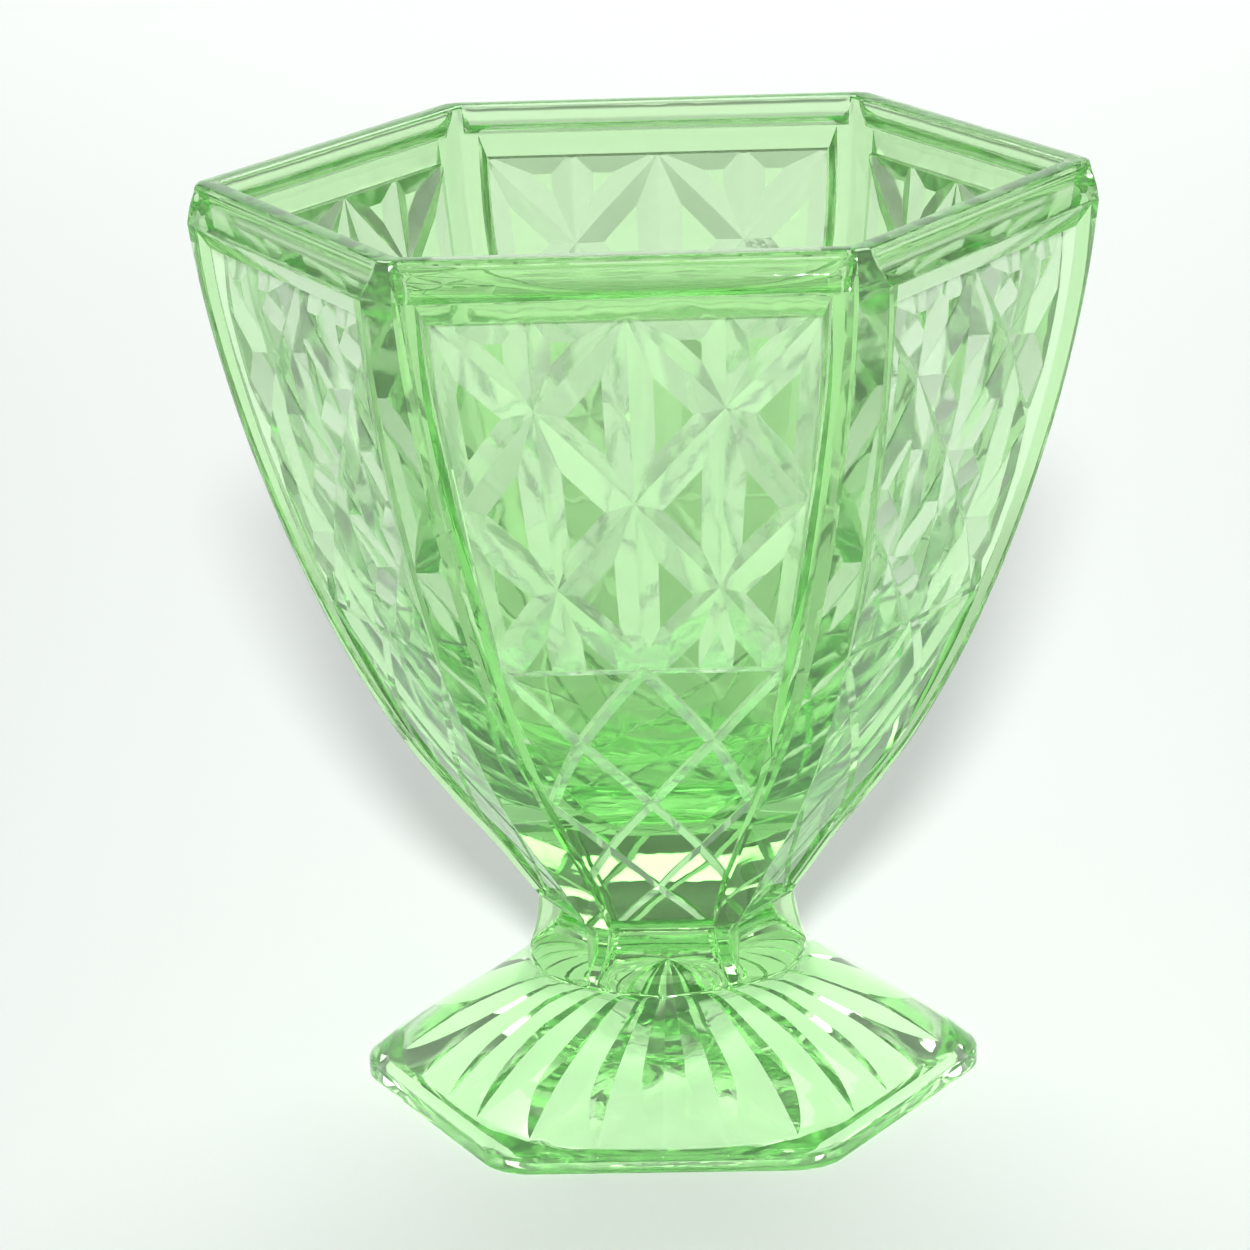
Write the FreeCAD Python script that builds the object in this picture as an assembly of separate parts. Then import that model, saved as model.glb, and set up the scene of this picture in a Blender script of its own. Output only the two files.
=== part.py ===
import FreeCAD, Part
import math
import os

# Footed hexagonal vase, pressed glass.  Millimetres, +Z up, origin at the centre
# of the resting plane.  The front face looks along -Y, so the hexagon has
# corners on +X and -X and flats on +Y and -Y.

V = FreeCAD.Vector

# ---------------------------------------------------------------- dimensions
HEIGHT = 140.0            # resting plane to lip

# lip and band
BAND_Z = 134.5            # lower edge of the plain band
LIP_APOTHEM = 56.6        # outer edge of the lip, across-flats / 2
MOUTH_APOTHEM = 53.0      # inner edge of the lip
LIP_ROUND = 0.7           # fire-polished rounding of the lip edges
COVE_RADIUS = 5.2         # cove rolled along each band face
COVE_Z = 137.4
COVE_DEPTH = 1.3
COVE_HALF_LENGTH = 28.6

# outer body: height, face apothem, half width of the corner pilaster
BODY = [
    (29.2, 17.6, 1.9),
    (33.0, 20.2, 2.4),
    (37.8, 23.4, 2.9),
    (44.8, 28.6, 3.4),
    (53.2, 34.2, 3.7),
    (64.4, 40.1, 3.85),
    (78.4, 45.9, 3.95),
    (95.2, 51.4, 4.0),
    (112.0, 55.6, 3.9),
    (126.0, 58.0, 3.5),
    (134.5, 58.9, 3.1),
]

# cavity: height, face apothem (top section stands above the lip)
CAVITY = [
    (49.2, 7.0),
    (50.6, 13.5),
    (53.6, 19.6),
    (58.6, 25.4),
    (66.0, 31.3),
    (78.0, 38.0),
    (95.0, 44.2),
    (112.0, 48.8),
    (126.0, 51.6),
    (134.5, 52.6),
    (141.0, 53.1),
]

# recessed panel on each face
PANEL_TOP = 131.1         # foot of the bevel ledge under the band
PANEL_FRAME = 0.92        # panel half width / face half width
PANEL_DEPTH = 1.5
SPLIT_Z = 77.1            # height where the star field meets the lattice

# pattern: heights of the rows of crossings, top to bottom, and the cuts
ROWS = [131.1, 117.1, 102.7, 89.4, 77.1, 64.8, 53.6, 44.7, 36.6]
HALF_COLUMN = {1: 0.505, 3: 0.513, 5: 0.547, 7: 0.578}   # share of the panel half width
STAR_DEPTH = 1.9
STAR_HALF_WIDTH = 2.8
LATTICE_DEPTH = 0.6
LATTICE_HALF_WIDTH = 0.9

# neck collar
NECK_TOP = 29.2
NECK_BOTTOM = 19.8
NECK_R = 20.7             # to the outside of the fins, at the foot
NECK_R_TOP = 19.3
SCOOP_RADIUS = 5.6
SCOOP_Z = 24.2
SCOOP_DEPTH = 3.6
FIN_HALF_WIDTH = 1.9

# foot
FOOT_APOTHEM = 41.5
FOOT_CORNER = 8.4
FOOT_EDGE = 3.0
CREASE_R = 21.0           # round where the slope meets the neck
FOOT_SECTIONS = [         # height, apothem, corner radius
    (3.0, 41.4, 8.4),
    (5.2, 39.3, 8.4),
    (9.1, 34.4, 8.4),
    (13.3, 28.3, 9.0),
    (17.2, 23.2, 13.5),
    (19.8, 20.95, 20.8),
]
HOLLOW = [                # height, apothem, corner radius
    (-0.5, 37.9, 6.6),
    (1.6, 35.4, 6.0),
    (6.0, 27.6, 4.4),
    (10.2, 18.6, 2.8),
    (13.4, 10.0, 1.4),
    (14.8, 4.0, 0.6),
]
RAYS = 24                 # pointed V cuts under the foot
RAY_IN = 5.0
RAY_OUT = 35.2            # along a face centre line
RAY_HALF_WIDTH = 2.6
RAY_DEPTH = 1.5

R3 = math.sqrt(3.0)


# ------------------------------------------------------------------- helpers
def wire(points):
    return Part.makePolygon(points + [points[0]])


def hexagon(apothem, z):
    r = 2.0 * apothem / R3
    return wire([V(r * math.cos(math.radians(60 * k)),
                   r * math.sin(math.radians(60 * k)), z) for k in range(6)])


def corner_distance(apothem, half):
    return 2.0 * apothem / R3 - half / R3


def twelve(apothem, half, z):
    """Hexagon whose corners are cut back to flat facets of the given half width."""
    d = corner_distance(apothem, half)
    pts = []
    for k in range(6):
        a = math.radians(60 * k)
        for s in (-1, 1):
            pts.append(V(d * math.cos(a) - s * half * math.sin(a),
                         d * math.sin(a) + s * half * math.cos(a), z))
    return wire(pts)


def rounded_hexagon(apothem, radius, z):
    r = 2.0 * apothem / R3
    rc = r - 2.0 * radius / R3
    edges = []
    for k in range(6):
        a = math.radians(60 * k)
        cx, cy = rc * math.cos(a), rc * math.sin(a)

        def on(deg):
            b = a + math.radians(deg)
            return V(cx + radius * math.cos(b), cy + radius * math.sin(b), z)
        edges.append(Part.Arc(on(-30), on(0), on(30)).toShape())
        b = math.radians(60 * (k + 1))
        nx, ny = rc * math.cos(b), rc * math.sin(b)
        c = b - math.radians(30)
        edges.append(Part.makeLine(on(30), V(nx + radius * math.cos(c),
                                             ny + radius * math.sin(c), z)))
    return Part.Wire(edges)


def loft(wires, ruled=False):
    return Part.makeLoft(wires, True, ruled)


def turned(shape, degrees):
    s = shape.copy()
    s.rotate(V(0, 0, 0), V(0, 0, 1), degrees)
    return s


def slab(z0, z1, half=200.0):
    return Part.makeBox(2 * half, 2 * half, z1 - z0, V(-half, -half, z0))


def interp(table, z, col):
    """Value of a column of a (z, ...) table at a height, by Hermite interpolation."""
    if z <= table[0][0]:
        return table[0][col]
    if z >= table[-1][0]:
        return table[-1][col]
    n = len(table)
    slopes = []
    for i in range(n):
        a = table[max(i - 1, 0)]
        b = table[min(i + 1, n - 1)]
        slopes.append((b[col] - a[col]) / (b[0] - a[0]))
    for i in range(n - 1):
        z0, z1 = table[i][0], table[i + 1][0]
        if z0 <= z <= z1:
            h = z1 - z0
            t = (z - z0) / h
            v0, v1 = table[i][col], table[i + 1][col]
            m0, m1 = slopes[i] * h, slopes[i + 1] * h
            return ((2 * t ** 3 - 3 * t ** 2 + 1) * v0 + (t ** 3 - 2 * t ** 2 + t) * m0
                    + (-2 * t ** 3 + 3 * t ** 2) * v1 + (t ** 3 - t ** 2) * m1)


def face_half(z):
    """Half width of a flat face between its two pilasters."""
    return interp(BODY, z, 1) / R3 - 2.0 * interp(BODY, z, 2) / R3


def front(u, depth, z):
    """Point on the -Y face: across u, sunk by depth, at height z."""
    return V(u, -(interp(BODY, z, 1) - depth), z)


# ---------------------------------------------------------------- outer body
body = loft([twelve(a, w, z) for z, a, w in BODY])

# band: from the flare at its lower edge to the lip, then six coves
band = loft([twelve(58.9, 3.1, BAND_Z), twelve(58.0, 2.4, 135.9),
             twelve(57.2, 1.6, 138.0), twelve(56.9, 1.1, HEIGHT - LIP_ROUND)], True)
lip = loft([twelve(56.9, 1.1, HEIGHT - LIP_ROUND),
            twelve(56.9 - LIP_ROUND * 0.45, 1.0, HEIGHT - LIP_ROUND * 0.3),
            twelve(LIP_APOTHEM - LIP_ROUND * 0.5, 0.9, HEIGHT)], True)
cavity = loft([hexagon(a, z) for z, a in CAVITY])
mouth_round = loft([hexagon(MOUTH_APOTHEM, HEIGHT - LIP_ROUND),
                    hexagon(MOUTH_APOTHEM + LIP_ROUND * 0.55, HEIGHT + 0.01)], True)

rim = band.fuse(lip)
cove_axis_y = -(57.3 - COVE_DEPTH + COVE_RADIUS)
cove = Part.makeCylinder(COVE_RADIUS, 2 * COVE_HALF_LENGTH,
                         V(-COVE_HALF_LENGTH, cove_axis_y, COVE_Z), V(1, 0, 0))
cove = cove.common(Part.makeBox(200, 200, 4.3, V(-100, -150, 135.0)))
for k in range(6):
    rim = rim.cut(turned(cove, 60 * k))
rim = rim.cut(cavity).cut(mouth_round).removeSplitter()

# ------------------------------------------------------------ recessed panels
zs = [PANEL_TOP, 117.1, 102.7, 89.4, 77.1, 64.8, 53.6, 44.7, 36.6, 30.4]


def panel_section(z, depth, widen=0.0):
    f = PANEL_FRAME * face_half(z)
    a = interp(BODY, z, 1)
    inner = -(a - depth)
    outer = -(a + 4.0)
    side = 1.1 + widen
    # the sides lean outward, so the frame shows a narrow bevel
    return wire([V(-f, inner, z), V(f, inner, z),
                 V(f + side, -(a + 0.02), z), V(f + side, outer, z),
                 V(-f - side, outer, z), V(-f - side, -(a + 0.02), z)])


panel = loft([panel_section(z, PANEL_DEPTH) for z in zs])
ledge = loft([panel_section(PANEL_TOP, PANEL_DEPTH),
              panel_section(BAND_Z - 0.25, 0.02, 0.4)], True)
for k in range(6):
    body = body.cut(turned(panel, 60 * k))
    body = body.cut(turned(ledge, 60 * k))


# --------------------------------------------------------------------- cuts
def hull(tris, pts):
    """Closed solid from corner points and triangles."""
    s = Part.Solid(Part.makeShell([Part.Face(wire([pts[i] for i in t])) for t in tris]))
    if s.Volume < 0:
        s.reverse()
    return s


PRISM = ((0, 1, 2), (3, 5, 4), (0, 3, 4), (0, 4, 1), (0, 2, 5), (0, 5, 3), (1, 4, 5), (1, 5, 2))


def groove(p, q, half, depth, lift=0.7):
    """Straight V cut of constant section from p to q on the sunk panel of the -Y face."""
    (u0, z0), (u1, z1) = p, q
    du, dz = u1 - u0, z1 - z0
    n = math.hypot(du, dz)
    nu, nz = -dz / n, du / n
    w = half * (1.0 + lift / depth)
    pts = []
    for u, z in (p, q):
        a = interp(BODY, z, 1)
        h = 0.5
        lean = (interp(BODY, min(z + h, BAND_Z), 1) - interp(BODY, max(z - h, NECK_TOP), 1)) / (2 * h)
        pts.append(V(u, -(a - PANEL_DEPTH - depth), z))
        for s in (1, -1):
            pts.append(V(u + s * nu * w, -(a - PANEL_DEPTH + lift + s * nz * w * lean), z + s * nz * w))
    return hull(PRISM, pts)


def node(row, col):
    z = interp([(-r, ROWS[r]) for r in range(len(ROWS) - 1, -1, -1)], -row, 1)
    if abs(col) == 0.5:
        near = min(HALF_COLUMN, key=lambda r: abs(r - row))
        col = math.copysign(HALF_COLUMN[near], col)
    return (col * PANEL_FRAME * face_half(z), z)


def split(p, q, parts):
    """The run from one (row, column) crossing to another as short straight lengths."""
    a, b = node(*p), node(*q)
    out = []
    for i in range(parts):
        t, t1 = i / parts, (i + 1) / parts
        out.append(((a[0] + (b[0] - a[0]) * t, a[1] + (b[1] - a[1]) * t),
                    (a[0] + (b[0] - a[0]) * t1, a[1] + (b[1] - a[1]) * t1)))
    return out


stars = []
for i in range(4):
    pairs = [(-1, -.5), (0, -.5), (0, .5), (1, .5)] if i % 2 == 0 else \
            [(-.5, -1), (-.5, 0), (.5, 0), (.5, 1)]
    stars += [((i, a), (i + 1, b)) for a, b in pairs]
    stars.append(((i, 0), (i + 1, 0)))
for c in (-.5, .5):
    stars += [((0, c), (1, c)), ((1, c), (3, c)), ((3, c), (3.85, c))]
lattice = []
for c in (-1, 1):
    h = 0.5 * c
    lattice += [((4, c), (5, h)), ((4, 0), (5, h)), ((5, h), (6, c)), ((5, h), (6, 0)),
                ((6, c), (7, h)), ((6, 0), (7, h)), ((7, h), (7.68, c)), ((7, h), (8, 0))]
star_tools = [groove(p, q, STAR_HALF_WIDTH, STAR_DEPTH)
              for run in stars for p, q in split(run[0], run[1], 1)]
lattice_tools = [groove(p, q, LATTICE_HALF_WIDTH, LATTICE_DEPTH)
                 for run in lattice for p, q in split(run[0], run[1], 2)]

# ------------------------------------------------------------- join and split
body = body.cut(cavity)

wall = body.common(slab(SPLIT_Z, BAND_Z))
bowl = body.common(slab(NECK_TOP, SPLIT_Z))
for k in range(6):
    wall = wall.cut([turned(t, 60 * k) for t in star_tools])
    bowl = bowl.cut([turned(t, 60 * k) for t in lattice_tools])

# neck collar: six-sided waist, corners left as fins, faces scooped
neck = loft([twelve(NECK_R * R3 / 2, 0.6, NECK_BOTTOM),
             twelve(NECK_R_TOP * R3 / 2, 0.6, NECK_TOP)], True)
scoop_half = NECK_R / 2 - FIN_HALF_WIDTH
scoop = Part.makeCylinder(SCOOP_RADIUS, 2 * scoop_half,
                          V(-scoop_half, -(NECK_R * R3 / 2 - SCOOP_DEPTH + SCOOP_RADIUS), SCOOP_Z),
                          V(1, 0, 0))
scoop = scoop.common(slab(NECK_BOTTOM + 0.3, NECK_TOP))
for k in range(6):
    neck = neck.cut(turned(scoop, 60 * k))
neck = neck.removeSplitter()

# foot: low straight edge, slightly domed slope, hollow underside
edge = loft([rounded_hexagon(FOOT_APOTHEM - 0.5, FOOT_CORNER - 0.3, 0.0),
             rounded_hexagon(FOOT_APOTHEM, FOOT_CORNER, 0.6),
             rounded_hexagon(FOOT_APOTHEM, FOOT_CORNER, FOOT_EDGE)], True)
slope = loft([rounded_hexagon(a, r, z) for z, a, r in FOOT_SECTIONS])
foot = edge.fuse(slope)
hollow = loft([rounded_hexagon(a, r, z) for z, a, r in HOLLOW])
foot = foot.cut(hollow).removeSplitter()


def hollow_z(apothem):
    return interp([(a, z) for z, a, r in reversed(HOLLOW)], apothem, 1)


def ray(degrees):
    """Pointed V cut that runs out from the centre of the underside."""
    b = math.radians(degrees)
    off = math.radians((degrees + 90.0) % 60.0)
    off = min(off, math.radians(60.0) - off)
    stretch = 1.0 / max(math.cos(off), math.cos(math.radians(24.0)))
    pts = []
    for a, half, deep in ((RAY_IN, 0.4, 0.2), (RAY_OUT * 0.42, RAY_HALF_WIDTH * 0.62, RAY_DEPTH * 0.8),
                          (RAY_OUT * 0.72, RAY_HALF_WIDTH, RAY_DEPTH), (RAY_OUT, 0.25, 0.1)):
        r = a * stretch
        z = hollow_z(a)
        for s, up in ((0, deep), (1, -0.6), (-1, -0.6)):
            w = half * (deep + 0.6) / deep * s if deep > 0.5 else s * half
            pts.append(V(r * math.cos(b) - w * math.sin(b), r * math.sin(b) + w * math.cos(b), z + up))
    tris = [(0, 1, 2), (9, 11, 10)]
    for i in (0, 3, 6):
        for j in range(3):
            k = (j + 1) % 3
            tris += [(i + j, i + 3 + j, i + 3 + k), (i + j, i + 3 + k, i + k)]
    return hull(tris, pts)


foot = foot.cut([ray(-90 + 360.0 / RAYS * j) for j in range(RAYS)])

nodes = {
    "rim_band": rim,
    "panel_wall": wall,
    "lower_bowl": bowl,
    "neck_collar": neck,
    "foot": foot,
}

os.makedirs("parts", exist_ok=True)
for name, shape in nodes.items():
    solids = shape.Solids
    print(name, "valid", shape.isValid(), "solids", len(solids),
          "volume", round(shape.Volume, 1), "box", shape.BoundBox)
    out = solids[0] if len(solids) == 1 else shape
    out.exportStep(os.path.join("parts", name + ".step"))
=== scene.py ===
import math
import bmesh
import bpy
import numpy as np
from mathutils import Matrix, Vector


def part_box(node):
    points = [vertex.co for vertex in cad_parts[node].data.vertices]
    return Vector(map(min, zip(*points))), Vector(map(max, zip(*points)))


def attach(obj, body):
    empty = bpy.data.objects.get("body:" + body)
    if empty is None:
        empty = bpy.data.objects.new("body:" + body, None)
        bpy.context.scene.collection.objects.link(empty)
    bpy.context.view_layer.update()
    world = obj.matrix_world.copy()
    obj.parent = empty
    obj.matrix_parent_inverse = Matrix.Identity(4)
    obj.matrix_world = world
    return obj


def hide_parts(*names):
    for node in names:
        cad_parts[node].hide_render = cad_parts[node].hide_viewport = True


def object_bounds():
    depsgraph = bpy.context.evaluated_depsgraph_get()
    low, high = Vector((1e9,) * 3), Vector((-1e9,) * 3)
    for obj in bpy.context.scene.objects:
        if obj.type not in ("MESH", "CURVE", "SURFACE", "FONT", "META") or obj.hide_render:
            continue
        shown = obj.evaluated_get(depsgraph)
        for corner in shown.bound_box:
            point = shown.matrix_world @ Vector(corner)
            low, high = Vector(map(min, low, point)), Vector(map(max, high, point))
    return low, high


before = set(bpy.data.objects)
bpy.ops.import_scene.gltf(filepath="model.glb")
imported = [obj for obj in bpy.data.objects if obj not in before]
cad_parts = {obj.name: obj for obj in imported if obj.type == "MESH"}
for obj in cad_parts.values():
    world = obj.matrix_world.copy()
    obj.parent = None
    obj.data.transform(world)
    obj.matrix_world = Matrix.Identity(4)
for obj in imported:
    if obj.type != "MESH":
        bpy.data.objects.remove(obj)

cad_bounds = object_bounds()


def plain(b):
    return [[float(c) for c in p] for p in b]


cad_bounds = plain(cad_bounds)

# ------------------------------------------------------------------ sizes, mm
rim_lo, rim_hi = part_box("rim_band")
neck_lo, neck_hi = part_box("neck_collar")
foot_lo, foot_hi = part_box("foot")
wall_lo, wall_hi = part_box("panel_wall")
HEIGHT = rim_hi[2] * 1000.0
BAND_Z = rim_lo[2] * 1000.0
NECK_TOP = neck_hi[2] * 1000.0
NECK_BOTTOM = neck_lo[2] * 1000.0
BODY_A = wall_hi[1] * 1000.0          # face apothem at the foot of the band
FOOT_A = foot_hi[1] * 1000.0
CREASE_R = 21.0

# outer body: height, face apothem, half width of the corner pilaster
BODY = [
    (NECK_TOP, 17.6, 1.9), (33.0, 20.2, 2.4), (37.8, 23.4, 2.9), (44.8, 28.6, 3.4),
    (53.2, 34.2, 3.7), (64.4, 40.1, 3.85), (78.4, 45.9, 3.95), (95.2, 51.4, 4.0),
    (112.0, 55.6, 3.9), (126.0, 58.0, 3.5), (BAND_Z, BODY_A, 3.1),
]
CAVITY = [
    (HEIGHT - 0.9, 53.0, 0.35), (134.5, 52.6, 0.35), (126.0, 51.6, 0.35), (119.0, 50.4, 0.35),
    (112.0, 48.8, 0.35), (103.5, 46.7, 0.4), (95.0, 44.2, 0.4), (86.5, 41.3, 0.45),
    (78.0, 38.0, 0.5), (72.0, 34.9, 0.6), (66.0, 31.3, 0.7), (62.3, 28.6, 0.8),
    (58.6, 25.4, 0.9), (56.0, 22.7, 1.0), (53.6, 19.6, 1.1), (51.9, 16.6, 1.2),
    (50.6, 13.5, 1.2), (49.8, 10.4, 1.2), (49.2, 7.0, 1.0), (48.95, 3.5, 0.6),
]
R3 = math.sqrt(3.0)
FLAT = 27.0          # half width of a face in the flat layout
CORNER = 4.0         # half width of a pilaster in the flat layout
ROW = 13.3           # height of one row of the pattern in the flat layout
ROWS = [131.1, 117.1, 102.7, 89.4, 77.1, 64.8, 53.6, 44.7, 36.6, NECK_TOP]
TOP_ROW = -0.218
FRAME = 0.92 * FLAT
SUNK = 1.5
BODY_T = np.array(BODY)


def hermite(xs, ys):
    """Smooth curve through rising xs, as a function."""
    xs = np.asarray(xs, float)
    ys = np.asarray(ys, float)
    m = np.gradient(ys, xs)

    def f(x):
        x = min(max(x, xs[0]), xs[-1])
        i = int(min(np.searchsorted(xs, x, side="right") - 1, len(xs) - 2))
        h = xs[i + 1] - xs[i]
        t = (x - xs[i]) / h
        return ((2 * t ** 3 - 3 * t ** 2 + 1) * ys[i] + (t ** 3 - 2 * t ** 2 + t) * m[i] * h
                + (-2 * t ** 3 + 3 * t ** 2) * ys[i + 1] + (t ** 3 - t ** 2) * m[i + 1] * h)
    return f


apothem_at = hermite(BODY_T[:, 0], BODY_T[:, 1])
facet_at = hermite(BODY_T[:, 0], BODY_T[:, 2])
height_of_row = hermite([TOP_ROW] + list(range(len(ROWS))), [BAND_Z] + ROWS)


def ring_point(apothem, half, U):
    """Six-sided ring with flat corner facets: point of the front sector at flat U."""
    s = -1.0 if U < 0 else 1.0
    a = abs(U)
    t = apothem / R3 - 2.0 * half / R3
    if a <= FLAT:
        return s * a / FLAT * t, -apothem
    k = (a - FLAT) / CORNER
    d = 2.0 * apothem / R3 - half / R3
    cx, cy = 0.5 * d, -R3 / 2 * d
    return s * (t + k * (cx - t)), -apothem + k * (cy + apothem)


def round_point(apothem, radius, U):
    """Six-sided ring with round corners."""
    s = -1.0 if U < 0 else 1.0
    a = abs(U)
    t = (apothem - radius) / R3
    if a <= FLAT:
        return s * a / FLAT * t, -apothem
    k = math.radians(30.0 * (a - FLAT) / CORNER)
    return s * (t + radius * math.sin(k)), -(apothem - radius) - radius * math.cos(k)


def turn(x, y, k):
    a = math.radians(60 * k)
    return x * math.cos(a) - y * math.sin(a), x * math.sin(a) + y * math.cos(a)


# ------------------------------------------------------- flat panel with cuts
def flat_mesh(name, verts, faces):
    me = bpy.data.meshes.new(name)
    me.from_pydata(verts, [], faces)
    bm = bmesh.new()
    bm.from_mesh(me)
    bmesh.ops.recalc_face_normals(bm, faces=bm.faces)
    bm.to_mesh(me)
    bm.free()
    return me


def block(corners):
    """Closed hull-like solid from eight corners, lower four then upper four."""
    faces = [(0, 1, 2, 3), (4, 5, 6, 7), (0, 1, 5, 4), (1, 2, 6, 5), (2, 3, 7, 6), (3, 0, 4, 7)]
    return flat_mesh("block", corners, faces)


def groove(p, q, half, depth, past=(0.0, 0.0), lift=0.14):
    """Straight V groove of constant section along p to q, run past its ends."""
    p = np.array(p, float)
    q = np.array(q, float)
    d = q - p
    d /= np.linalg.norm(d)
    p = p - d * past[0]
    q = q + d * past[1]
    m = np.array([-d[1], d[0]])
    verts = []
    wide = half + lift * half / depth
    for c in (p, q):
        verts.append((c[0], c[1], -(SUNK + depth)))
        verts.append((c[0] + m[0] * wide, c[1] + m[1] * wide, -(SUNK - lift)))
        verts.append((c[0] - m[0] * wide, c[1] - m[1] * wide, -(SUNK - lift)))
    faces = [(0, 3, 4, 1), (0, 2, 5, 3), (1, 4, 5, 2), (0, 1, 2), (3, 5, 4)]
    return flat_mesh("groove", verts, faces)


def well(low, high, deep, side, ends):
    """Closed region of the panel floor that its grooves are kept inside."""
    verts = []
    for z, f in ((-SUNK - deep, 1.0), (-SUNK, 0.0), (-SUNK + 0.3, 0.0)):
        u = FRAME - side * f
        v0, v1 = low + ends[0] * f, high - ends[1] * f
        verts += [(-u, v0, z), (u, v0, z), (u, v1, z), (-u, v1, z)]
    faces = [(0, 1, 2, 3), (8, 9, 10, 11)]
    for i in (0, 4):
        for j in range(4):
            k = (j + 1) % 4
            faces.append((i + j, i + k, i + 4 + k, i + 4 + j))
    return flat_mesh("well", verts, faces)


HALF_COLUMN = {1: 0.505, 3: 0.513, 5: 0.547, 7: 0.578}


def node(row, col):
    """Crossing of the pattern: whole columns on even rows, half columns on odd ones."""
    if abs(col) == 0.5:
        near = min(HALF_COLUMN, key=lambda r: abs(r - row))
        col = math.copysign(HALF_COLUMN[near], col)
    return (col * FRAME, -ROW * row)


def boolean(ob, meshes, operation):
    """One boolean of an object with a set of closed meshes."""
    group = bpy.data.collections.new("tools")
    bpy.context.scene.collection.children.link(group)
    made = []
    for t in meshes:
        tool = bpy.data.objects.new("tool", t)
        group.objects.link(tool)
        made.append(tool)
    m = ob.modifiers.new("boolean", "BOOLEAN")
    m.operation = operation
    m.solver = "MANIFOLD"
    m.operand_type = "COLLECTION"
    m.collection = group
    dg = bpy.context.evaluated_depsgraph_get()
    new = bpy.data.meshes.new_from_object(ob.evaluated_get(dg))
    ob.modifiers.remove(m)
    old = ob.data
    ob.data = new
    bpy.data.meshes.remove(old)
    for tool in made:
        t = tool.data
        bpy.data.objects.remove(tool)
        bpy.data.meshes.remove(t)
    bpy.data.collections.remove(group)


def united(meshes, inside):
    """The meshes joined into one and kept inside a region, as a mesh."""
    ob = bpy.data.objects.new("united", meshes[0])
    bpy.context.scene.collection.objects.link(ob)
    boolean(ob, meshes[1:], "UNION")
    boolean(ob, [inside], "INTERSECT")
    me = ob.data
    bpy.data.objects.remove(ob)
    return me


U1 = FLAT + CORNER
V0 = -ROW * (len(ROWS) - 1)
V1 = -ROW * TOP_ROW
slab = bpy.data.objects.new("slab", block([
    (-U1, V0, -9), (U1, V0, -9), (U1, V1, -9), (-U1, V1, -9),
    (-U1, V0, 0), (U1, V0, 0), (U1, V1, 0), (-U1, V1, 0)]))
bpy.context.scene.collection.objects.link(slab)

LOW = -ROW * 8.9
g = 1.0
floor_block = block([
    (-FRAME, LOW, -SUNK), (FRAME, LOW, -SUNK), (FRAME, 0, -SUNK), (-FRAME, 0, -SUNK),
    (-FRAME - 1.2 * (SUNK + g) / SUNK, LOW - 0.9 * (SUNK + g) / SUNK, g),
    (FRAME + 1.2 * (SUNK + g) / SUNK, LOW - 0.9 * (SUNK + g) / SUNK, g),
    (FRAME + 1.2 * (SUNK + g) / SUNK, (V1 - 0.12) * (SUNK + g) / SUNK, g),
    (-FRAME - 1.2 * (SUNK + g) / SUNK, (V1 - 0.12) * (SUNK + g) / SUNK, g)])
# upper field: V grooves of one section that meet in stars
MW, MD = 3.0, 2.0
stars = []
for i in range(4):
    pairs = [(-1, -.5), (0, -.5), (0, .5), (1, .5)] if i % 2 == 0 else \
            [(-.5, -1), (-.5, 0), (.5, 0), (.5, 1)]
    for a, b in pairs:
        past = (1.5 if abs(a) == 1 or i == 0 else 0.0, 1.5 if abs(b) == 1 or i == 3 else 0.0)
        stars.append(groove(node(i, a), node(i + 1, b), MW, MD, past))
stars.append(groove(node(0, 0), node(4, 0), 3.3, MD, (2, 2)))
for c in (-.5, .5):
    stars.append(groove(node(0, c), node(1, c), MW, MD, (2, 0)))
    stars.append(groove(node(1, c), node(3, c), MW, MD))
    stars.append(groove(node(3, c), node(4, c), MW, MD, (0, 2)))
for c in (-1, 1):
    stars.append(groove(node(0, c), node(4, c), 2.9, MD - 0.1, (2, 2)))
stars.append(groove(node(0, -1), node(0, 1), 2.7, MD - 0.3, (2, 2)))
stars = united(stars, well(-ROW * 4, 0, 2.4, 0.5, (6.5, 0.4)))
# lower field: narrow grooves crossing in a diamond lattice
LW, LD = 1.2, 0.85
lattice = [groove(node(4, -1), node(4, 1), 0.5, 0.35, (1, 1))]
lines = [((4, -1), (5, -.5)), ((4, 0), (5, -.5)), ((5, -.5), (6, -1)), ((5, -.5), (6, 0)),
         ((6, -1), (7, -.5)), ((6, 0), (7, -.5)), ((7, -.5), (7.68, -1)), ((7, -.5), (8, 0)),
         ((8, 0), (8.9, -.8))]
for (r, c), (r2, c2) in lines:
    for s in (1, -1):
        past = (1.0 if abs(c) == 1 else 0.0, 1.0 if abs(c2) in (1, .8) else 0.0)
        lattice.append(groove(node(r, c * s), node(r2, c2 * s), LW, LD, past))
lattice = united(lattice, well(LOW, -ROW * 3.9, 1.2, 0.2, (0.3, 0.0)))
boolean(slab, [floor_block, stars, lattice], "DIFFERENCE")

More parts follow.
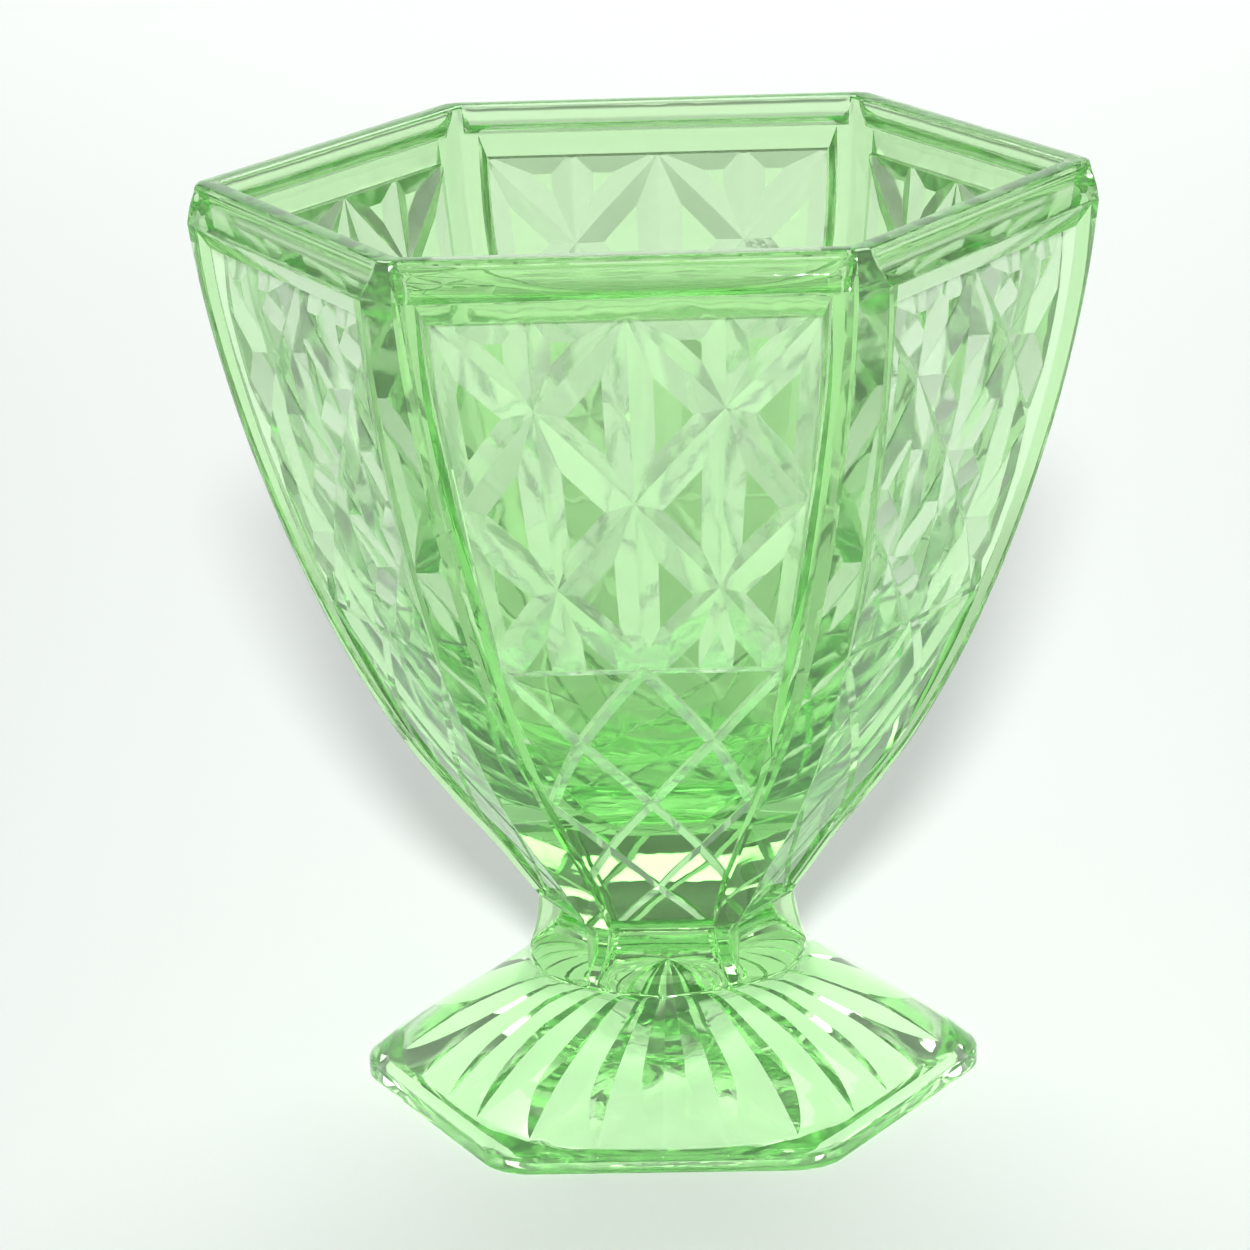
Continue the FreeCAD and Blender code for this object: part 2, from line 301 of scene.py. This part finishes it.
bm = bmesh.new()
bm.from_mesh(slab.data)
for u in (-FLAT, FLAT):
    bmesh.ops.bisect_plane(bm, geom=bm.verts[:] + bm.edges[:] + bm.faces[:], dist=1e-5,
                           plane_co=(u, 0, 0), plane_no=(1, 0, 0))
steps = 52
for i in range(1, steps):
    v = V0 + (V1 - V0) * i / steps
    bmesh.ops.bisect_plane(bm, geom=bm.verts[:] + bm.edges[:] + bm.faces[:], dist=1e-5,
                           plane_co=(0, v, 0), plane_no=(0, 1, 0))
gone = []
for f in bm.faces:
    c = f.calc_center_median()
    if (abs(abs(c.x) - U1) < 1e-3 or abs(c.y - V0) < 1e-3 or abs(c.y - V1) < 1e-3
            or c.z < -8.9):
        gone.append(f)
bmesh.ops.delete(bm, geom=gone, context="FACES")
bmesh.ops.remove_doubles(bm, verts=bm.verts[:], dist=2e-4)
bmesh.ops.triangulate(bm, faces=bm.faces[:], quad_method="BEAUTY", ngon_method="BEAUTY")
bm.verts.ensure_lookup_table()
bm.verts.index_update()
flat_v = [tuple(v.co) for v in bm.verts]
flat_f = [tuple(v.index for v in f.verts) for f in bm.faces]
bm.free()
bpy.data.objects.remove(slab)
print("flat panel", len(flat_v), len(flat_f))


pull_in = hermite([116.0, 120.0, 125.0, 131.0, BAND_Z], [1.0, 0.998, 0.988, 0.970, 0.958])
EDGE = FRAME + 1.2


def bend(U, V, D):
    """Flat layout to the real curved face of the front sector."""
    z = height_of_row(-V / ROW)
    k = pull_in(z)
    if abs(U) <= EDGE:
        U = U * k
    elif abs(U) < FLAT:
        U = math.copysign(FLAT - (FLAT - abs(U)) / (FLAT - EDGE) * (FLAT - EDGE * k), U)
    a = apothem_at(z)
    h = 0.25
    slope = (apothem_at(min(z + h, BAND_Z)) - apothem_at(max(z - h, NECK_TOP))) / (
        min(z + h, BAND_Z) - max(z - h, NECK_TOP))
    w = facet_at(z)
    t = a / R3 - 2 * w / R3
    depth = -D * (0.42 + 0.58 * t / 28.0)
    x, y = ring_point(a, w, U)
    if abs(U) <= FLAT + 1e-6:
        n = math.sqrt(1 + slope * slope)
        return x, y + depth / n, z + depth * slope / n
    return x, y, z


verts = []
faces = []
cut_share = {}          # face number: 1 on the flanks of a cut, 0 elsewhere
foot_share = {}         # face number: 1 on the thin foot, 0 elsewhere


def add_ring(points):
    base = len(verts)
    verts.extend(points)
    return list(range(base, base + len(points)))


def bridge(a, b):
    """Quads between two closed rings of the same count."""
    n = len(a)
    for i in range(n):
        j = (i + 1) % n
        faces.append((a[i], a[j], b[j], b[i]))


def stitch(a, pa, b, pb):
    """Triangles between two closed rings of different counts, by position along them."""
    i = j = 0
    n, m = len(a), len(b)
    total = 6.0
    while i < n or j < m:
        na = pa[(i + 1) % n] + (total if i + 1 >= n else 0.0) if i < n else 1e9
        nb = pb[(j + 1) % m] + (total if j + 1 >= m else 0.0) if j < m else 1e9
        if na <= nb:
            faces.append((a[i % n], a[(i + 1) % n], b[j % m]))
            i += 1
        else:
            faces.append((a[i % n], b[(j + 1) % m], b[j % m]))
            j += 1


def close(ring, point):
    c = len(verts)
    verts.append(point)
    n = len(ring)
    for i in range(n):
        faces.append((ring[i], ring[(i + 1) % n], c))


# ------------------------------------------------------------ six panel faces
bent = [bend(*p) for p in flat_v]
top_ids = sorted((i for i, p in enumerate(flat_v) if abs(p[1] - V1) < 1e-3), key=lambda i: flat_v[i][0])
low_ids = sorted((i for i, p in enumerate(flat_v) if abs(p[1] - V0) < 1e-3), key=lambda i: flat_v[i][0])
top_ring, top_pos, low_ring, low_pos = [], [], [], []
for k in range(6):
    base = len(verts)
    for x, y, z in bent:
        tx, ty = turn(x, y, k)
        verts.append((tx, ty, z))
    for f in flat_f:
        deep = -min(flat_v[i][2] for i in f) - SUNK
        if deep > 0.06:
            cut_share[len(faces)] = 1.0
        faces.append(tuple(base + i for i in f))
    for i in top_ids[:-1]:
        top_ring.append(base + i)
        top_pos.append(k + (flat_v[i][0] + U1) / (2 * U1))
    for i in low_ids[:-1]:
        low_ring.append(base + i)
        low_pos.append(k + (flat_v[i][0] + U1) / (2 * U1))

# ------------------------------------------------------- band, lip and cavity
half_cols = [0.0, 0.28, 0.52, 0.70, 0.82, 0.88, 0.915, 0.94, 0.958, 0.972, 0.984, 0.993, 1.0]
half_cols = [c * FLAT for c in half_cols] + [FLAT + CORNER * k for k in (0.34, 0.67, 1.0)]
COLS = sorted(set([-c for c in half_cols] + half_cols))
POS = [k + (U + U1) / (2 * U1) for k in range(6) for U in COLS[:-1]]


def ring_from(fn):
    pts = []
    for k in range(6):
        for U in COLS[:-1]:
            x, y, z = fn(U)
            tx, ty = turn(x, y, k)
            pts.append((tx, ty, z))
    return add_ring(pts)


D = HEIGHT - 140.0
post_a = hermite([134.5, 135.3, 136.4, 137.6, 138.6, 139.4], [BODY_A, 58.66, 58.2, 57.65, 57.2, 56.95])
post_w = hermite([134.5, 135.3, 136.4, 137.6, 138.6, 139.4], [3.1, 2.8, 2.15, 1.6, 1.3, 1.1])
cove_a = hermite([134.5, 134.9, 135.5, 136.3, 137.2, 138.1, 138.8, 139.4],
                 [BODY_A, 58.1, 57.2, 56.55, 56.25, 56.3, 56.6, 56.95])


def mask(U, z):
    """1 along the cove, 0 on the corner posts, with rounded ends."""
    a = abs(U) / FLAT
    edge = 0.990 - 0.012 * (1 - abs(z - 137.0) / 2.5)
    x = (edge - a) / 0.052
    if x <= 0:
        return 0.0
    if x >= 1:
        return 1.0
    return math.sqrt(1 - (1 - x) ** 2)


previous = None
for z in (134.75, 135.05, 135.45, 135.95, 136.5, 137.1, 137.7, 138.25, 138.7, 139.05, 139.35):
    def fn(U, z=z):
        a, w = post_a(z), post_w(z)
        m = mask(U, z)
        x, y = ring_point(a, w, U)
        return x, y + m * (a - cove_a(z)), z + D
    ring = ring_from(fn)
    if previous is None:
        stitch(top_ring, top_pos, ring, POS)
    else:
        bridge(previous, ring)
    previous = ring
for z, a, w in ((139.60, 56.86, 1.05), (139.82, 56.66, 1.0), (139.95, 56.38, 0.95), (140.0, 56.0, 0.9),
                (140.0, 55.2, 0.75), (140.0, 54.0, 0.6), (139.94, 53.62, 0.5), (139.8, 53.3, 0.42),
                (139.55, 53.08, 0.38)):
    ring = ring_from(lambda U: ring_point(a, w, U) + (z + D,))
    bridge(previous, ring)
    previous = ring
for z, a, w in CAVITY:
    ring = ring_from(lambda U: ring_point(a, w, U) + (z,))
    bridge(previous, ring)
    previous = ring
close(previous, (0.0, 0.0, 48.85))

# ------------------------------------------------------------------ neck, foot
fin_a = hermite([NECK_BOTTOM, 21.5, 24.0, 27.0, NECK_TOP], [18.7, 18.3, 18.0, 17.75, 17.6])
fin_w = hermite([NECK_BOTTOM, 21.5, 24.0, 27.0, NECK_TOP], [0.5, 0.75, 1.4, 1.8, 1.9])
scoop = hermite([NECK_BOTTOM, 20.1, 20.8, 21.8, 23.2, 24.8, 26.4, 27.6, 28.4, 28.9, NECK_TOP],
                [CREASE_R, 19.6, 18.1, 16.7, 15.3, 14.4, 14.1, 14.5, 15.4, 16.3, 17.6])
to_circle = hermite([NECK_BOTTOM, 20.6, 21.8, 23.4, 26.0, NECK_TOP], [1.0, 0.62, 0.28, 0.08, 0.0, 0.0])


def neck_mask(U, z):
    """1 in the scoop, 0 on the fins, rounded at the scoop's ends."""
    a = abs(U) / FLAT
    x = (0.985 - a) / 0.20
    if x <= 0:
        return 0.0
    if x >= 1:
        return 1.0
    return math.sqrt(1 - (1 - x) ** 2)


previous = None
for z in (29.0, 28.75, 28.4, 28.0, 27.5, 26.9, 26.2, 25.4, 24.6, 23.8, 23.0, 22.2, 21.5, 20.9, 20.4,
          20.1, 19.9):
    z = NECK_BOTTOM + (z - 19.8) * (NECK_TOP - NECK_BOTTOM) / 9.4

    def fn(U, z=z):
        a, w, c = fin_a(z), fin_w(z), to_circle(z)
        x, y = ring_point(a, w, U)
        y += neck_mask(U, z) * (a - scoop(z)) * (1 - c)
        ang = math.atan2(y, x)
        r = math.hypot(x, y)
        rc = c * CREASE_R + (1 - c) * r
        return rc * math.cos(ang), rc * math.sin(ang), z
    ring = ring_from(fn)
    if previous is None:
        stitch(low_ring, low_pos, ring, POS)
    else:
        bridge(previous, ring)
    previous = ring
SKIRT = [
    (19.75, 21.0, 21.0), (19.4, 21.35, 19.5), (18.6, 22.4, 17.0), (17.2, 24.7, 13.5), (15.4, 27.7, 10.5),
    (13.3, 31.3, 9.0), (11.3, 34.8, 8.5), (9.1, 38.4, 8.4), (7.0, 41.6, 8.4), (5.2, 44.1, 8.4),
    (4.3, 45.3, 8.4), (3.85, 45.9, 8.4), (3.5, 46.25, 8.4),
]
rings = [(z, (v + 0.1547 * r) / 1.1547, r) for z, v, r in SKIRT]
rings += [
    (3.1, FOOT_A - 0.1, 8.4), (2.8, FOOT_A, 8.4), (0.75, FOOT_A, 8.4), (0.4, FOOT_A - 0.08, 8.35),
    (0.15, FOOT_A - 0.27, 8.3), (0.0, FOOT_A - 0.6, 8.2),
    (0.0, 38.6, 7.2), (0.12, 38.2, 7.0), (0.4, 37.8, 6.8), (0.9, 37.2, 6.6),
]
for z, a, r in rings:
    ring = ring_from(lambda U: round_point(a, r, U) + (z,))
    bridge(previous, ring)
    previous = ring

foot_from = len(faces) - len(POS) * (len(rings) - 1)

# underside: shallow hollow with pointed V rays
hollow = hermite([0.0, 4.0, 10.0, 18.6, 27.6, 33.0, 36.3, 37.2], [14.6, 14.1, 12.6, 9.6, 5.6, 2.7, 1.15, 0.8])
NORMALS = [(math.cos(math.radians(-90 + 60 * k)), math.sin(math.radians(-90 + 60 * k))) for k in range(6)]


def hex_radius(x, y):
    s = sum(max(0.0, x * nx + y * ny) ** 9 for nx, ny in NORMALS)
    return s ** (1 / 9.0) if s > 0 else 0.0


def outline(angle, a):
    """Distance from the axis to the hollow's six-sided outline at this angle."""
    c, s = math.cos(angle), math.sin(angle)
    return a / hex_radius(c, s)


FRACTION = [1.0, 0.985, 0.965, 0.94, 0.905, 0.86, 0.81, 0.755, 0.695, 0.635, 0.58, 0.52, 0.46, 0.40,
            0.34, 0.28, 0.22, 0.16, 0.11, 0.065]
RAYS = 24
PITCH = 360.0 / RAYS
half_ray = hermite([0.0, 0.60, 0.635, 0.695, 0.755, 0.81, 0.86, 0.905, 0.94, 0.965, 0.985, 1.0],
                   [7.5, 7.5, 7.48, 7.2, 6.5, 5.5, 4.3, 3.0, 1.9, 1.0, 0.0, 0.0])
rows = []
for f in FRACTION:
    pts = []
    for j in range(RAYS):
        # first ray of the loop sits on the corner, so the seam falls on a ridge
        mid = math.radians(-120 + PITCH * j)
        h = math.radians(min(PITCH / 2, max(0.0, half_ray(f))))
        for off in (-math.radians(PITCH / 2), -h, 0.0, h):
            ang = mid + off
            r = outline(ang, 36.8) * f
            x, y = r * math.cos(ang), r * math.sin(ang)
            z = hollow(hex_radius(x, y))
            if off == 0.0:
                z += 0.60 * r * math.sin(h)
            pts.append((x, y, z))
    rows.append(add_ring(pts))
ray_pos = []
for j in range(RAYS):
    h = min(PITCH / 2, max(0.0, half_ray(1.0)))
    for off in (-PITCH / 2, -h, 0.0, h):
        ray_pos.append((PITCH * j + off) / 60.0)
ring_pos = []
for i in previous:
    x, y, z = verts[i]
    ang = (math.degrees(math.atan2(y, x)) + 120.0 + 1e-6) % 360.0
    ring_pos.append(ang / 60.0)
# both loops start at their own lowest position
first = min(range(len(ring_pos)), key=lambda i: ring_pos[i])
previous = previous[first:] + previous[:first]
ring_pos = ring_pos[first:] + ring_pos[:first]
first = min(range(len(ray_pos)), key=lambda i: (ray_pos[i] + 1e-9) % 6.0)
inner = rows[0][first:] + rows[0][:first]
ray_pos = [(p + 1e-9) % 6.0 for p in ray_pos[first:] + ray_pos[:first]]
stitch(previous, ring_pos, inner, ray_pos)
for a, b in zip(rows, rows[1:]):
    bridge(a, b)
close(rows[-1], (0.0, 0.0, 14.65))
for i in range(foot_from, len(faces)):
    foot_share[i] = 1.0

# ---------------------------------------------------------------- one casting
me = bpy.data.meshes.new("vase_glass")
me.from_pydata([(x * 0.001, y * 0.001, z * 0.001) for x, y, z in verts], [], faces)
bm = bmesh.new()
bm.from_mesh(me)
layer = bm.faces.layers.float.new("cut")
for i, f in enumerate(bm.faces):
    f[layer] = cut_share.get(i, 0.0)
layer = bm.faces.layers.float.new("foot")
for i, f in enumerate(bm.faces):
    f[layer] = foot_share.get(i, 0.0)
bmesh.ops.remove_doubles(bm, verts=bm.verts[:], dist=4e-7)
bmesh.ops.dissolve_degenerate(bm, edges=bm.edges[:], dist=2e-7)
bmesh.ops.recalc_face_normals(bm, faces=bm.faces[:])
open_edges = sum(1 for e in bm.edges if len(e.link_faces) != 2)
volume = bm.calc_volume(signed=True)
print("glass", len(bm.verts), len(bm.faces), "bad edges", open_edges, "volume cm3", volume * 1e6)
if volume < 0:
    bmesh.ops.reverse_faces(bm, faces=bm.faces[:])
bm.to_mesh(me)
bm.free()
me.shade_smooth()
me.set_sharp_from_angle(angle=math.radians(17))
vase = bpy.data.objects.new("vase_glass", me)
bpy.context.scene.collection.objects.link(vase)
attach(vase, "root")
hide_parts("rim_band", "panel_wall", "lower_bowl", "neck_collar", "foot")


# ------------------------------------------------------------------- material
def link(tree, a, b):
    tree.links.new(a, b)


glass = bpy.data.materials.new("green_glass")
glass.use_nodes = True
nt = glass.node_tree
for n in list(nt.nodes):
    nt.nodes.remove(n)
out = nt.nodes.new("ShaderNodeOutputMaterial")
bsdf = nt.nodes.new("ShaderNodeBsdfPrincipled")
bsdf.inputs["IOR"].default_value = 1.5
bsdf.inputs["Transmission Weight"].default_value = 1.0
absorb = nt.nodes.new("ShaderNodeVolumeAbsorption")
absorb.inputs["Color"].default_value = (0.40, 0.91, 0.25, 1)
absorb.inputs["Density"].default_value = 25.0
coord = nt.nodes.new("ShaderNodeTexCoord")
cut_at = nt.nodes.new("ShaderNodeAttribute")
cut_at.attribute_type = "GEOMETRY"
cut_at.attribute_name = "cut"
tint = nt.nodes.new("ShaderNodeMix")
tint.data_type = "RGBA"
tint.inputs["A"].default_value = (0.71, 0.945, 0.62, 1)
tint.inputs["B"].default_value = (0.87, 0.98, 0.83, 1)
foot_at = nt.nodes.new("ShaderNodeAttribute")
foot_at.attribute_type = "GEOMETRY"
foot_at.attribute_name = "foot"
pale = nt.nodes.new("ShaderNodeMath")
pale.operation = "ADD"
pale.use_clamp = True
link(nt, cut_at.outputs["Fac"], pale.inputs[0])
link(nt, foot_at.outputs["Fac"], pale.inputs[1])
link(nt, pale.outputs["Value"], tint.inputs["Factor"])
link(nt, tint.outputs["Result"], bsdf.inputs["Base Color"])
# satin left by the mould on the cuts, fire polish elsewhere, patchy in both
patch = nt.nodes.new("ShaderNodeTexNoise")
patch.inputs["Scale"].default_value = 160.0
patch.inputs["Detail"].default_value = 3.0
link(nt, coord.outputs["Object"], patch.inputs["Vector"])
satin = nt.nodes.new("ShaderNodeMapRange")
satin.inputs["To Min"].default_value = 0.03
satin.inputs["To Max"].default_value = 0.13
link(nt, patch.outputs["Fac"], satin.inputs["Value"])
polish = nt.nodes.new("ShaderNodeMapRange")
polish.inputs["To Min"].default_value = 0.01
polish.inputs["To Max"].default_value = 0.06
link(nt, patch.outputs["Fac"], polish.inputs["Value"])
rough = nt.nodes.new("ShaderNodeMix")
link(nt, cut_at.outputs["Fac"], rough.inputs["Factor"])
link(nt, polish.outputs["Result"], rough.inputs["A"])
link(nt, satin.outputs["Result"], rough.inputs["B"])
link(nt, rough.outputs["Result"], bsdf.inputs["Roughness"])
# a little milkiness everywhere, more on the cuts
milk = nt.nodes.new("ShaderNodeMapRange")
milk.inputs["To Min"].default_value = 0.96
milk.inputs["To Max"].default_value = 0.84
link(nt, cut_at.outputs["Fac"], milk.inputs["Value"])
link(nt, milk.outputs["Result"], bsdf.inputs["Transmission Weight"])
# slow waves of pressed glass, with a fine grain on the cuts
wave = nt.nodes.new("ShaderNodeTexNoise")
wave.inputs["Scale"].default_value = 130.0
wave.inputs["Detail"].default_value = 2.0
link(nt, coord.outputs["Object"], wave.inputs["Vector"])
grain = nt.nodes.new("ShaderNodeTexNoise")
grain.inputs["Scale"].default_value = 1100.0
grain.inputs["Detail"].default_value = 2.0
link(nt, coord.outputs["Object"], grain.inputs["Vector"])
on_cuts = nt.nodes.new("ShaderNodeMath")
on_cuts.operation = "MULTIPLY"
link(nt, grain.outputs["Fac"], on_cuts.inputs[0])
link(nt, cut_at.outputs["Fac"], on_cuts.inputs[1])
height = nt.nodes.new("ShaderNodeMath")
height.operation = "MULTIPLY_ADD"
height.inputs[1].default_value = 0.10
link(nt, on_cuts.outputs["Value"], height.inputs[0])
link(nt, wave.outputs["Fac"], height.inputs[2])
bump = nt.nodes.new("ShaderNodeBump")
bump.inputs["Strength"].default_value = 0.15
bump.inputs["Distance"].default_value = 0.0005
link(nt, height.outputs["Value"], bump.inputs["Height"])
link(nt, bump.outputs["Normal"], bsdf.inputs["Normal"])
# lamps reach the floor through the thin foot
path = nt.nodes.new("ShaderNodeLightPath")
passes = nt.nodes.new("ShaderNodeMath")
passes.operation = "MULTIPLY"
link(nt, path.outputs["Is Shadow Ray"], passes.inputs[0])
link(nt, foot_at.outputs["Fac"], passes.inputs[1])
clear = nt.nodes.new("ShaderNodeBsdfTransparent")
clear.inputs["Color"].default_value = (0.83, 0.87, 0.82, 1)
both = nt.nodes.new("ShaderNodeMixShader")
link(nt, passes.outputs["Value"], both.inputs["Fac"])
link(nt, bsdf.outputs["BSDF"], both.inputs[1])
link(nt, clear.outputs["BSDF"], both.inputs[2])
link(nt, both.outputs["Shader"], out.inputs["Surface"])
link(nt, absorb.outputs["Volume"], out.inputs["Volume"])
me.materials.append(glass)

# ---------------------------------------------------------------------- stage
floor_me = bpy.data.meshes.new("floor")
floor_me.from_pydata([(-6, -6, 0), (6, -6, 0), (6, 6, 0), (-6, 6, 0)], [], [(0, 1, 2, 3)])
floor = bpy.data.objects.new("floor", floor_me)
floor.location = (0, 0, foot_lo[2] - 0.00005)
bpy.context.scene.collection.objects.link(floor)
fm = bpy.data.materials.new("floor")
fm.use_nodes = True
fb = fm.node_tree.nodes["Principled BSDF"]
fb.inputs["Base Color"].default_value = (0.90, 0.935, 0.91, 1)
fb.inputs["Roughness"].default_value = 0.7
fb.inputs["Specular IOR Level"].default_value = 0.2
floor_me.materials.append(fm)

world = bpy.data.worlds.new("studio")
bpy.context.scene.world = world
world.use_nodes = True
wt = world.node_tree
bg = wt.nodes["Background"]
bg.inputs["Color"].default_value = (0.96, 1.0, 0.97, 1)
# pale walls round a dimmer ceiling
where = wt.nodes.new("ShaderNodeTexCoord")
axes = wt.nodes.new("ShaderNodeSeparateXYZ")
wt.links.new(where.outputs["Generated"], axes.inputs["Vector"])
fade = wt.nodes.new("ShaderNodeMapRange")
fade.interpolation_type = "SMOOTHSTEP"
fade.inputs["From Min"].default_value = 0.08
fade.inputs["From Max"].default_value = 0.50
fade.inputs["To Min"].default_value = 0.95
fade.inputs["To Max"].default_value = 0.16
wt.links.new(axes.outputs["Z"], fade.inputs["Value"])
wt.links.new(fade.outputs["Result"], bg.inputs["Strength"])


def area(name, pos, target, size, power, color=(1, 1, 1)):
    li = bpy.data.lights.new(name, "AREA")
    li.shape = "DISK"
    li.size = size
    li.energy = power
    li.color = color
    ob = bpy.data.objects.new(name, li)
    ob.location = pos
    d = Vector(target) - Vector(pos)
    ob.rotation_euler = d.to_track_quat("-Z", "Y").to_euler()
    bpy.context.scene.collection.objects.link(ob)
    return ob


key = area("key", (0.06, -1.07, 0.57), (0, 0.55, 0), 0.10, 1.5)
key.data.spread = math.radians(50)
area("back", (0.0, 1.3, 1.3), (0, 1.1, 0), 1.4, 18.5)

# --------------------------------------------------------------------- camera
yaw, pitch, roll = 0.0571, 0.2938, -0.0381
d = Vector((-math.sin(yaw) * math.cos(pitch), math.cos(yaw) * math.cos(pitch), -math.sin(pitch)))
right = Vector((math.cos(yaw), math.sin(yaw), 0))
up = right.cross(d)
r2 = math.cos(roll) * right + math.sin(roll) * up
u2 = -math.sin(roll) * right + math.cos(roll) * up
k = HEIGHT * 0.001
cam = bpy.data.cameras.new("camera")
cam.sensor_width = 36.0
cam.lens = 4968.0 / 1250.0 * 36.0
cam.clip_start = 0.01
cam.clip_end = 50
cam_ob = bpy.data.objects.new("camera", cam)
m = Matrix((
    (r2.x, u2.x, -d.x, 0.2556 * k),
    (r2.y, u2.y, -d.y, -5.0653 * k),
    (r2.z, u2.z, -d.z, 2.0424 * k),
    (0, 0, 0, 1)))
cam_ob.matrix_world = m
bpy.context.scene.collection.objects.link(cam_ob)
bpy.context.scene.camera = cam_ob

sc = bpy.context.scene
sc.cycles.max_bounces = 24
sc.cycles.transmission_bounces = 24
sc.cycles.glossy_bounces = 8
sc.cycles.diffuse_bounces = 3
sc.cycles.volume_bounces = 0
sc.cycles.transparent_max_bounces = 12
sc.cycles.use_denoising = True
sc.cycles.sample_clamp_indirect = 3.0
sc.view_settings.view_transform = "Standard"
